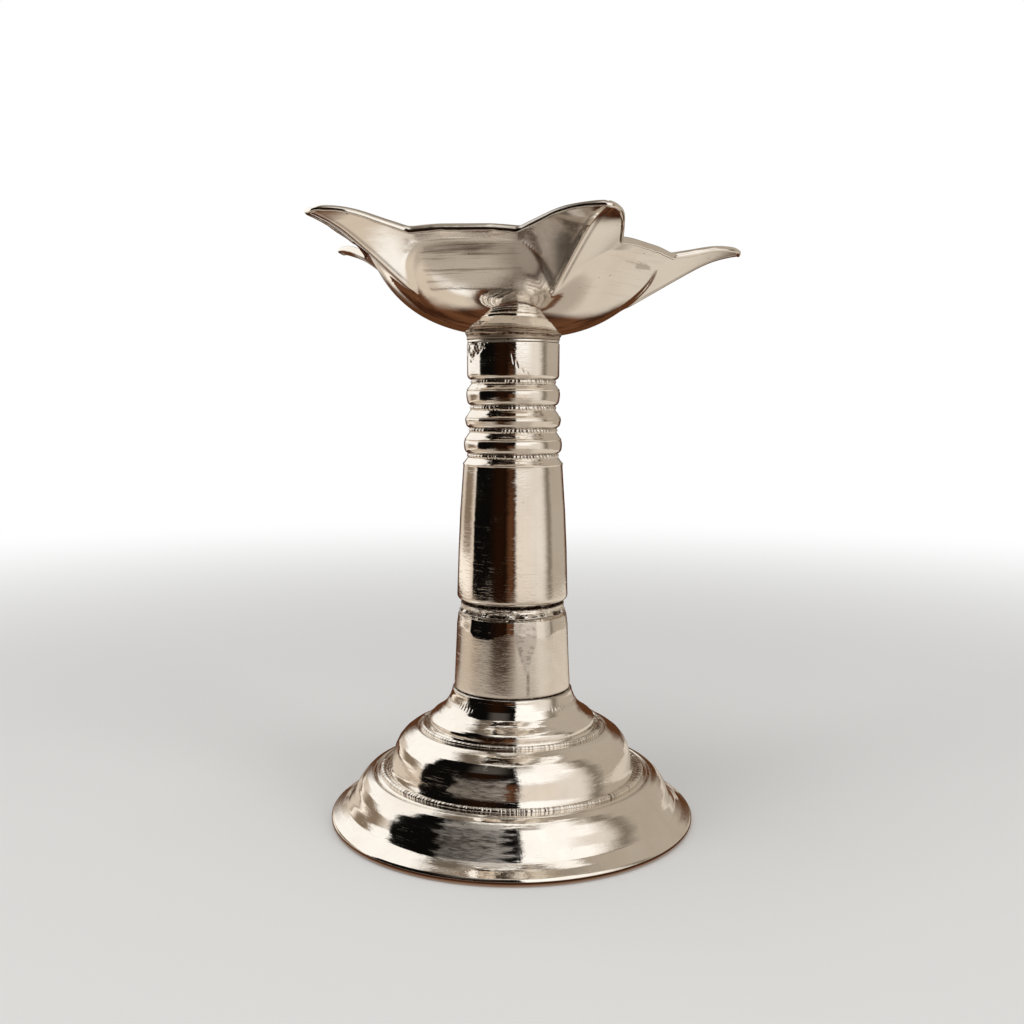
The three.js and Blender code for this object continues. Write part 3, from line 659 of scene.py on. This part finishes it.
# Grooves are (start, end, radius below, radius above) in shares of length and radius, and the cove's points
# are shares (of its depth, of a groove's height).
stemSet = {
    "foot": 29.31, "length": 33.6, "radius": 7.33, "edge": 0.8, "deep": 0.6, "bulge": 0.07, "neck": 0.823,
    "taper": ((0.1, 0.989), (0.2, 0.976), (0.35, 0.945)),
    "grooves": (
        (0.536, 0.577, 0.894, 0.873), (0.631, 0.675, 0.862, 0.849),
        (0.715, 0.762, 0.845, 0.826), (0.822, 0.86, 0.826, 0.82),
    ),
    "cove": (
        (0.06, -0.2), (0.03, -0.1), (-0.04, -0.04), (-0.05, 0.02), (0.1, 0.07), (0.34, 0.2), (0.56, 0.38),
        (0.78, 0.5), (0.96, 0.6), (1, 0.67), (1, 0.86), (0.86, 0.98), (0.5, 1.05), (0.2, 1.18),
        (0.04, 1.36), (0, 1.5),
    ),
}


# The upper barrel: rounded foot, taper, four coves with bulging rings between them, and neck.
def stemOutline(s):
    foot, length, radius, edge = s["foot"], s["length"], s["radius"], s["edge"]
    corner = radius - edge
    line = [(corner - 0.3, foot)]
    for t in np.linspace(0, np.pi / 2, 8):
        line.append((corner + edge * math.sin(t), foot + edge * 0.85 * (1 - math.cos(t))))
    line += [(radius * out, foot + length * up) for up, out in s["taper"]]
    for k, (start, end, below, above) in enumerate(s["grooves"]):
        low = np.array([radius * below, foot + length * start])
        high = np.array([radius * above, foot + length * end])
        if k > 0:
            last = np.array(line[-1])
            for share in (0.15, 0.3, 0.5, 0.7, 0.85):
                line.append(tuple(last + (low - last) * share + (s["bulge"] * 4 * share * (1 - share), 0)))
        for depth, up in s["cove"]:
            place = low + (high - low) * np.clip(up, 0, 1)
            line.append((place[0] - s["deep"] * depth, low[1] + (high[1] - low[1]) * up))
    neck, top = radius * s["neck"], foot + length
    return line + [(neck, top - 0.09), (neck - 0.03, top - 0.02), (neck - 0.15, top), (5.4, top)]


# The neck has an eroded corner at its upper left and slanting file marks, each (degrees, low, high). The
# foot's band is satin and ragged, and a painted brown shade line lies under each ring.
stemMarkSet = {
    "eroded": (62, 60.1, 62.9), "crackDepth": 0.16, "fileDepth": 0.035,
    "files": ((-1, 59.9, 61.6), (2, 59.4, 60.6), (6, 58.7, 59.7), (10, 58.5, 59.3), (-31, 60.2, 61.3)),
    "footEdge": 30.8, "footRagged": 0.9, "seam": (29.33, 29.6),
}


def stemMarks(turn, z, along):
    s = stemMarkSet
    degrees = np.degrees(turn)
    left, low, high = s["eroded"]
    reach = ease(z, low, high)
    aside = np.abs(degrees + left + 8 * (roundNoise(turn, along, 47, 40, 0.5) - 0.5))
    eroded = fall(aside, 3 + 20 * reach, 6 + 24 * reach) * ease(z, low - 0.1, low + 0.4)
    holes = ease(roundNoise(turn, along, 48, 56, 0.55, 2), 0.5, 0.62)
    files = np.zeros_like(z)
    for k, (middle, low, high) in enumerate(s["files"]):
        line = degrees - middle - (61 - z) * (2.0 + 0.7 * k)
        ends = ease(z, low, low + 0.4) * fall(z, high - 0.4, high)
        files = np.maximum(files, np.exp(-(line / 0.8) ** 2) * ends)
    footEdge = s["footEdge"] + s["footRagged"] * (roundNoise(turn, 0 * z, 49, 26, 1) - 0.5)
    satin = 0.3 * fall(z, footEdge - 0.3, footEdge + 0.3) + 0.3 * eroded
    stainAndShade = np.maximum(eroded * holes * 0.95, 0.6 * files)
    # A painted brown shade line under each ring's lower edge.
    for k, (start, end, *_) in enumerate(stemSet["grooves"]):
        top = stemSet["foot"] + stemSet["length"] * (start + (end - start) * 1.03)
        line = np.exp(-((z - top) / 0.1) ** 2) * (0.45 + 0.55 * roundNoise(turn, 0 * z, 81 + k, 30, 1))
        stainAndShade = np.maximum(stainAndShade, line)
    seam = 0.8 * fall(z, *s["seam"])
    relief = -s["crackDepth"] * eroded * holes - s["fileDepth"] * files
    return relief, np.maximum(stainAndShade, seam), satin, 0.3 * eroded


stemShape = {
    "outside": stemOutline(stemSet), "inside": [(3.6, 62.91), (3.6, 29.31)], "soft": 0.045, "spacing": 0.4,
    "bend": 0.18, "columns": 480, "uneven": 0.012, "seed": 41, "lumps": 9, "marks": stemMarks,
    "fine": ((29.2, 32.0, 0.16), (58.0, 62.95, 0.1)),
}
upperStem = turnedPiece("upper_barrel", stemShape)


# A cove's chased row: how far in, at which share of the cove's height, and a mark's length.
coveSet = {
    "inset": 0.08, "at": 0.74, "period": 0.55, "size": (0.24, 0.36), "tilt": -14, "spread": 0.4,
    "depth": 0.8, "patches": 14, "dirtAndShade": 1.0,
}


def coveRow(k, groove):
    s, c = stemSet, coveSet
    start, end, below, above = groove
    low, high = s["foot"] + s["length"] * start, s["foot"] + s["length"] * end
    radius = s["radius"] * (below + above) / 2 - s["deep"]
    place = {"radius": radius - c["inset"], "height": low + (high - low) * c["at"], "seed": 42 + k}
    count = int(2 * math.pi * radius / c["period"])
    return beadRow(f"cove_row_{k + 1}", {**c, **place, "count": count})


coveRows = [coveRow(k, groove) for k, groove in enumerate(stemSet["grooves"])]

washerShape = {
    "outside": [(5.0, 62.96), (5.92, 62.96), (5.98, 62.99), (5.98, 63.23), (5.92, 63.26), (5.0, 63.26)],
    "inside": [(2.55, 63.26), (2.55, 62.96)],
    "soft": 0.015, "spacing": 0.1, "bend": 0.4, "columns": 240, "uneven": 0.01, "seed": 51,
}
washer = turnedPiece("thin_washer", washerShape)
print("turned pieces made")


# The dish, about the bottom of its bowl. Edge points are (in from the rim, share up). Dents are the rim's
# unevenness below, at its side and in long waves, and ragged that of its lower edge.
dishSet = {
    "spouts": 5, "front": 19.2, "leanSideways": 2.35, "leanForward": -1.17, "shift": 0.5, "foot": 63.81,
    "sheet": 0.5, "panelRadius": 19.9, "panelRise": 10.55, "bowlRadius": 19.2, "bowlHeight": 14.8,
    "fullness": 2.6, "lipSlope": 0.62, "flatStart": 0.64, "spoutReach": 29.4, "keelStart": 15.3,
    "keelRise": 4.5, "keelSlope": 0.65, "keelBend": 25.6, "tipSlope": 0.2, "tipRound": 2.2,
    "keelRound": 0.5, "keelBead": 0.1, "beadWidth": 0.34, "creaseRound": 0.6, "bendRound": 0.5,
    "sideSlope": 0.49, "tipSide": 0.17, "mouthPower": 0.7, "nosePowers": (0.58, 0.4, 0.4, 0.45, 0.42),
    "reaches": (1.036, 1, 0.993, 1.02, 1), "spoutColumns": 28, "panelColumns": 22, "outerRows": 112,
    "innerRows": 40, "inset": 0.34, "wave": 0.05, "slopeStep": 0.6, "topInset": 0.8, "topDrop": 0.02,
    "dents": (0.09, 0.1, 0.02), "ragged": 0.14,
    "edge": (
        (0.36, 0), (0.33, -0.12), (0.23, -0.24), (0.1, -0.2), (0.02, -0.06), (0, 0.1), (0, 0.3),
        (0.03, 0.42), (0.09, 0.52), (0.17, 0.62), (0.26, 0.72), (0.35, 0.81), (0.44, 0.89), (0.54, 0.96),
        (0.66, 1),
    ),
}


# The lower of two heights with a rounded valley: min - width * (1 - gap / width) ** 2 / 4.
def softMin(a, b, width):
    blend = np.clip(width - np.abs(a - b), 0, None) / width
    return np.minimum(a, b) - width * blend * blend / 4


def softRamp(past, width):
    return (past + np.sqrt(past * past + width * width)) / 2


# A point's turn about Z, 0 towards the camera.
def turnOf(points):
    return np.arctan2(points[..., 0], -points[..., 1])


# Turn from the middle of the nearest spout, with the distance out along that spout and across it.
def fromSpout(x, y):
    pitch = 2 * np.pi / dishSet["spouts"]
    turn = np.arctan2(x, -y) - np.radians(dishSet["front"])
    near = turn - pitch * np.round(turn / pitch)
    radius = np.hypot(x, y)
    return near, radius, radius * np.cos(near), radius * np.sin(near)


# Height of the sheet's underside: the lower of a bowl, whose wall flattens towards the five sides, and the
# V of the nearest spout, whose keel climbs outwards and levels at its tip.
def sheetHeight(x, y):
    s = dishSet
    panel = s["panelRadius"]
    near, radius, along, across = fromSpout(x, y)
    side = np.pi / s["spouts"] - np.abs(near)
    flat = ease(radius, panel * s["flatStart"], panel)
    reach = radius * (1 - flat * (1 - np.cos(np.minimum(side, np.pi / s["spouts"] / 2))))
    inner = np.clip(1 - (reach / s["bowlRadius"]) ** s["fullness"], 0, None)
    wall = s["bowlHeight"] * (1 - np.sqrt(inner))
    lip = s["panelRise"] + s["lipSlope"] * (np.maximum(reach, s["bowlRadius"] / 2) - panel)
    bowl = softMin(wall, lip, s["bendRound"])
    keel = s["keelRise"] + s["keelSlope"] * softRamp(along - s["keelStart"], s["bendRound"])
    keel = keel - (s["keelSlope"] - s["tipSlope"]) * softRamp(along - s["keelBend"], s["tipRound"])
    out = (along - panel) / (s["spoutReach"] - panel)
    slope = s["sideSlope"] + (s["tipSide"] - s["sideSlope"]) * out
    spout = keel + slope * (np.hypot(across, s["keelRound"]) - s["keelRound"])
    spout = spout - s["keelBead"] * np.exp(-(across / s["beadWidth"]) ** 2)
    return softMin(bowl, spout, s["creaseRound"])


# Height of the sheet's top side, whose upright thickness is the sheet's own * sqrt(1 + slope ** 2).
def sheetTop(x, y):
    e = dishSet["slopeStep"]
    slopeX = (sheetHeight(x + e, y) - sheetHeight(x - e, y)) / (2 * e)
    slopeY = (sheetHeight(x, y + e) - sheetHeight(x, y - e)) / (2 * e)
    upright = dishSet["sheet"] * np.sqrt(1 + slopeX ** 2 + slopeY ** 2)
    return sheetHeight(x, y) + upright - dishSet["topDrop"]


# The rim from above: for each spout a curve from corner to tip and back, where the half width falls as a
# power of the share left to the tip, then straight sides between the spouts.
def rimPoints():
    s = dishSet
    panel = s["panelRadius"]
    corner = panel * math.tan(math.pi / s["spouts"] / 2)
    share = np.cos(np.linspace(0, np.pi / 2, s["spoutColumns"], endpoint=False))
    half = math.pi / s["spouts"]
    side = corner * (1 - np.linspace(0, 1, s["panelColumns"] + 1))
    sideAlong = panel * math.cos(half) + side * math.sin(half)
    sideAcross = panel * math.sin(half) - side * math.cos(half)
    points = []
    for i, (reachShare, nosePower) in enumerate(zip(s["reaches"], s["nosePowers"])):
        reach = s["spoutReach"] * reachShare
        power = s["mouthPower"] + (nosePower - s["mouthPower"]) * share
        along = np.r_[panel + (reach - panel) * share, sideAlong]
        across = np.r_[corner * (1 - share) ** power, sideAcross]
        along, across = np.r_[along[:0:-1], along[:-1]], np.r_[-across[:0:-1], across[:-1]]
        turn = math.radians(s["front"] + 360 / s["spouts"] * i)
        x = along * math.sin(turn) + across * math.cos(turn)
        y = across * math.sin(turn) - along * math.cos(turn)
        points.append(np.stack([x, y], 1))
    return np.vstack(points)


leanSide, leanFront = math.radians(dishSet["leanSideways"]), math.radians(dishSet["leanForward"])


# Leans the dish about the bottom of its bowl, first about Y and then about X, and sets it in place.
def leanDish(points):
    c, s = math.cos(leanSide), math.sin(leanSide)
    aboutY = np.array([[c, 0, s], [0, 1, 0], [-s, 0, c]])
    c, s = math.cos(leanFront), math.sin(leanFront)
    aboutX = np.array([[1, 0, 0], [0, c, -s], [0, s, c]])
    return points @ (aboutX @ aboutY).T + np.array([-dishSet["shift"], 0, dishSet["foot"]])


# Rows run from the middle to the rim under the sheet, round the rim's bead and back to the middle on top.
# Gives the points, the number of rows and the way out at each point of the rim.
def dishRows(rim, rough, slow):
    s = dishSet
    tangent = np.roll(rim, -1, 0) - np.roll(rim, 1, 0)
    tangent /= np.linalg.norm(tangent, axis=1, keepdims=True)
    outward = np.stack([tangent[:, 1], -tangent[:, 0]], 1)
    outward *= np.sign((outward * rim).sum(1))[:, None]
    share = (np.arange(1, s["outerRows"] + 1) / s["outerRows"]) ** 0.88
    under = share[:, None, None] * (rim - outward * s["inset"])[None]
    reach = np.linalg.norm(under, axis=-1)
    hand = roundNoise(turnOf(under), reach, 63, 14, 3.5, 2) - 0.5
    free = (ease(share, 0.25, 0.5) * fall(share, 0.9, 1))[:, None]
    underZ = sheetHeight(under[..., 0], under[..., 1]) + s["wave"] * hand * free
    topZ = sheetTop(rim[:, 0], rim[:, 1])
    lowZ = underZ[-1]
    edge, edgeZ = [], []
    below, beside, waves = s["dents"]
    for back, up in s["edge"]:
        dent = below * np.abs(rough) * (up < 0.3) + beside * np.abs(rough) * (0.3 < up < 0.7)
        edge.append(rim - outward * (back + (dent + waves * np.abs(slow)))[:, None])
        edgeZ.append(lowZ + (topZ - lowZ) * up + s["ragged"] * rough * (up < 0.1))
    inward = (np.arange(s["innerRows"], 0, -1) / s["innerRows"])[:, None, None]
    over = inward * (rim - outward * s["topInset"])[None]
    plan = np.concatenate([under, edge, over])
    height = np.concatenate([underZ, edgeZ, sheetTop(over[..., 0], over[..., 1])])
    middle = sheetHeight(0, 0)
    poles = [[0, 0, middle], [0, 0, middle + s["sheet"]]]
    points = np.concatenate([plan, height[..., None]], -1).reshape(-1, 3)
    return np.vstack([points, poles]), len(plan), outward


# Pairs are (from, to), but ahead, crease and keel are (middle, half), with the crease's raggedness third,
# and brush and rimDirtAndShade are (everywhere, more at the front).
dishMarkSet = {
    "panel": (5.7, 6.4), "panelOut": (12, 13), "ahead": (-16.8, 24), "brushLow": (4.3, 4.6),
    "brushHigh": (9.9, 10.3), "brush": (0.15, 0.85), "crease": (4.35, 0.09, 0.12), "creaseShade": 0.75,
    "spoutFrom": (15.5, 17.5), "spoutEdge": (2.5, 6), "keel": (0.62, 0.2), "keelBrownReflection": 0.6,
    "keelEnd": (27, 28.5), "faceLeft": (-8, 4), "faceIn": (-1.2, -0.3), "faceRight": 19,
    "faceOut": (15, 17), "faceBrownReflection": 0.4, "rimRight": (-6, 12), "rimLeft": (-110, -90),
    "rimDirtAndShade": (0.1, 0.6), "rimRows": 4,
}


# The front side is brushed and creased. Painted shade lies in the crease, painted brown reflections beside
# the keels and on the left face of the front spout, and dirt with painted shade under the rim, most at the
# front.
def dishValues(local, outward, rough):
    s = dishMarkSet
    near, radius, along, across = fromSpout(local[:, 0], local[:, 1])
    fromSide = np.pi / dishSet["spouts"] - np.abs(near)
    offSide, depth = radius * np.sin(fromSide), local[:, 2]
    turn = turnOf(local)
    degrees = np.degrees(turn)
    ragged = roundNoise(turn, 0 * depth, 64, 90, 1) - 0.5
    panel = fall(offSide, *s["panel"]) * ease(radius, *s["panelOut"])
    ahead = np.abs(degrees - s["ahead"][0]) < s["ahead"][1]
    band = ease(depth, *s["brushLow"]) * fall(depth, *s["brushHigh"])
    brushed = panel * band * (s["brush"][0] + s["brush"][1] * ahead)
    # Painted shade along the crease at the panel's lower edge, at the front.
    middle, half, wander = s["crease"]
    crease = ahead * panel * np.exp(-((depth - middle - wander * ragged) / half) ** 2)
    onSpout = ease(along, *s["spoutFrom"]) * fall(np.abs(across), *s["spoutEdge"])
    # Painted brown reflection in stripes beside each keel, along the spout.
    keel = np.exp(-((np.abs(across) - s["keel"][0]) / s["keel"][1]) ** 2)
    beside = s["keelBrownReflection"] * keel * onSpout * fall(along, *s["keelEnd"])
    # Painted brown reflection on the left face of the front spout.
    face = ease(degrees, *s["faceLeft"]) * (degrees < s["faceRight"])
    face = face * fall(across, *s["faceIn"]) * ease(radius, *s["faceOut"])
    dirtAndShade = np.maximum(np.maximum(s["creaseShade"] * crease, beside), s["faceBrownReflection"] * face)
    # Under the rim a dark line of dirt and painted shade, darker where the rim faces the front.
    facing = np.degrees(turnOf(outward))
    frontRim = fall(facing, *s["rimRight"]) * ease(facing, *s["rimLeft"])
    count = len(outward)
    first = dishSet["outerRows"] * count
    line = np.clip(0.8 + 1.2 * rough, 0, 1) * (s["rimDirtAndShade"][0] + s["rimDirtAndShade"][1] * frontRim)
    dirtAndShade[first:first + s["rimRows"] * count] = np.tile(line, s["rimRows"])
    return {"dirtAndShade": dirtAndShade, "satin": brushed, "worn": 0.12 * brushed}


def makeDish():
    rim = rimPoints()
    count = len(rim)
    walk = np.cumsum(np.linalg.norm(np.roll(rim, -1, 0) - rim, axis=1))
    turn = walk / walk[-1] * 2 * np.pi - np.pi
    rough = roundNoise(turn, 0 * turn, 61, 150, 1) - 0.5
    slow = roundNoise(turn, 0 * turn, 62, 36, 1) - 0.5
    local, rows, outward = dishRows(rim, rough, slow)
    points = leanDish(local)
    below = fanFaces(rows * count, 0, count)[:, [0, 2, 1]]
    above = fanFaces(rows * count + 1, (rows - 1) * count, count)[:, [1, 2, 0]]
    around = turnOf(points)
    lay = np.stack([np.cos(around), np.sin(around), 0 * around], 1)
    values = {"along": points[:, 2], "lay": lay, **dishValues(local, outward, rough)}
    faces = gridFaces(rows, count, closeColumns=True)
    return meshObject("dish_sheet", points * mm, faces, values, np.vstack([below, above]))


dish = makeDish()

# The collar's line is (share of the way from waist to lip, share of its height).
seatShape = {
    "foot": 63.31, "waist": 6.05, "lip": 6.26, "hole": 3.6, "columns": 480, "rows": 37, "seed": 71,
    "lipDrop": 0.02, "holeDrop": 0.2, "wobble": 0.05, "stainAndShade": (0.35, 0.6),
    "line": (
        (-0.3, 0), (-0.05, 0.02), (0.08, 0.1), (0.02, 0.26), (0.1, 0.42), (0.4, 0.58), (0.85, 0.74),
        (1, 0.88), (0.85, 1), (0.2, 1.02),
    ),
}


# The collar: a short wall from a level foot up to a lip that follows the leaning dish.
def makeSeat(s):
    turn = turnsRound(s["columns"])

    def underside(radius):
        x, y = radius * np.sin(turn) + dishSet["shift"], radius * -np.cos(turn)
        return dishSet["foot"] + sheetHeight(x, y) - math.tan(leanSide) * x + math.tan(leanFront) * y

    wobble = roundNoise(turn, 0 * turn, s["seed"], 30, 1) - 0.5
    ends = np.arange(len(s["line"]))
    at = np.linspace(0, ends[-1], s["rows"])
    out, up = (np.interp(at, ends, column)[:, None] for column in np.array(s["line"]).T)
    top = underside(s["lip"]) - s["lipDrop"]
    wall = s["waist"] + (s["lip"] - s["waist"]) * out + s["wobble"] * wobble * (0.2 + up)
    wallZ = s["foot"] + (top - s["foot"]) * up
    radius = np.vstack([wall, np.full((2, s["columns"]), s["hole"])])
    height = np.vstack([wallZ, underside(s["hole"]) - s["holeDrop"], np.full_like(turn, s["foot"])])
    stains = roundNoise(turn, 5 * up + 0.15 * np.sin(9 * turn), s["seed"] + 1, 14, 0.7)
    dirtAndShade = np.zeros_like(radius)
    dirtAndShade[:s["rows"]] = ease(stains, 0.2, 0.6) * (s["stainAndShade"][0] + s["stainAndShade"][1] * ease(up, 0.25, 0.45))
    values = {"along": height, "dirtAndShade": dirtAndShade, "satin": 0.6, "worn": 0.3}
    return ringMesh("dish_collar", radius, height, turn, values)


seat = makeSeat(seatShape)
print("dish and collar made")


# Each visible node with its body, the meshes that stand for it and what its silver changes.
finishes = {
    "base_shell": ("base", [base, *baseRows], {
        "streak": 0.12, "ripple": 0.009, "pits": 0.6, "scratchLight": 0.2,
    }),
    "lower_stem": ("base", [lowerStem], {
        "smooth": 0.05, "rough": 0.12, "streak": 0.04, "brush": 0.024, "ripple": 0.01, "peel": 0.009,
        "pits": 0.6,
    }),
    "joint_ring": ("ring", [jointRing], {
        "smooth": 0.1, "rough": 0.25, "ripple": 0.02, "rippleScale": 2, "pits": 0.8,
    }),
    "upper_stem": ("stem", [upperStem, *coveRows], {"streak": 0.12, "hammer": 0.018}),
    "dish_washer": ("dish_ring", [washer], {"smooth": 0.2, "rough": 0.35}),
    # The collar's darker, browner tint is painted shade under the dish.
    "dish_seat": ("dish", [seat], {
        "tint": (0.78, 0.69, 0.59), "shadeTint": (0.62, 0.51, 0.41), "smooth": 0.12, "rough": 0.25,
    }),
    "dish": ("dish", [dish], {
        "streak": 0.08, "streakFine": 7, "brush": 0.2, "lining": 0.8, "peel": 0.002, "scratch": 0,
        "scratchLight": 0, "hammer": 0.05, "hammerScale": 0.16, "pits": 0.75, "pitSize": 0.12,
    }),
}
for node, (body, pieces, changes) in finishes.items():
    silver = makeSilver("silver_" + node, changes)
    for piece in pieces:
        piece.data.materials.append(silver)
        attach(piece, body)
    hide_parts(node)

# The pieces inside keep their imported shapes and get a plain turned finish.
inside = makeSilver("silver_inside", {
    "turned": True, "smooth": 0.18, "rough": 0.32, "streak": 0.06, "shadeTint": (0.74, 0.69, 0.62),
})
for node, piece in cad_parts.items():
    if node not in finishes:
        for slot in piece.material_slots:
            slot.material = inside
print("finishes made")
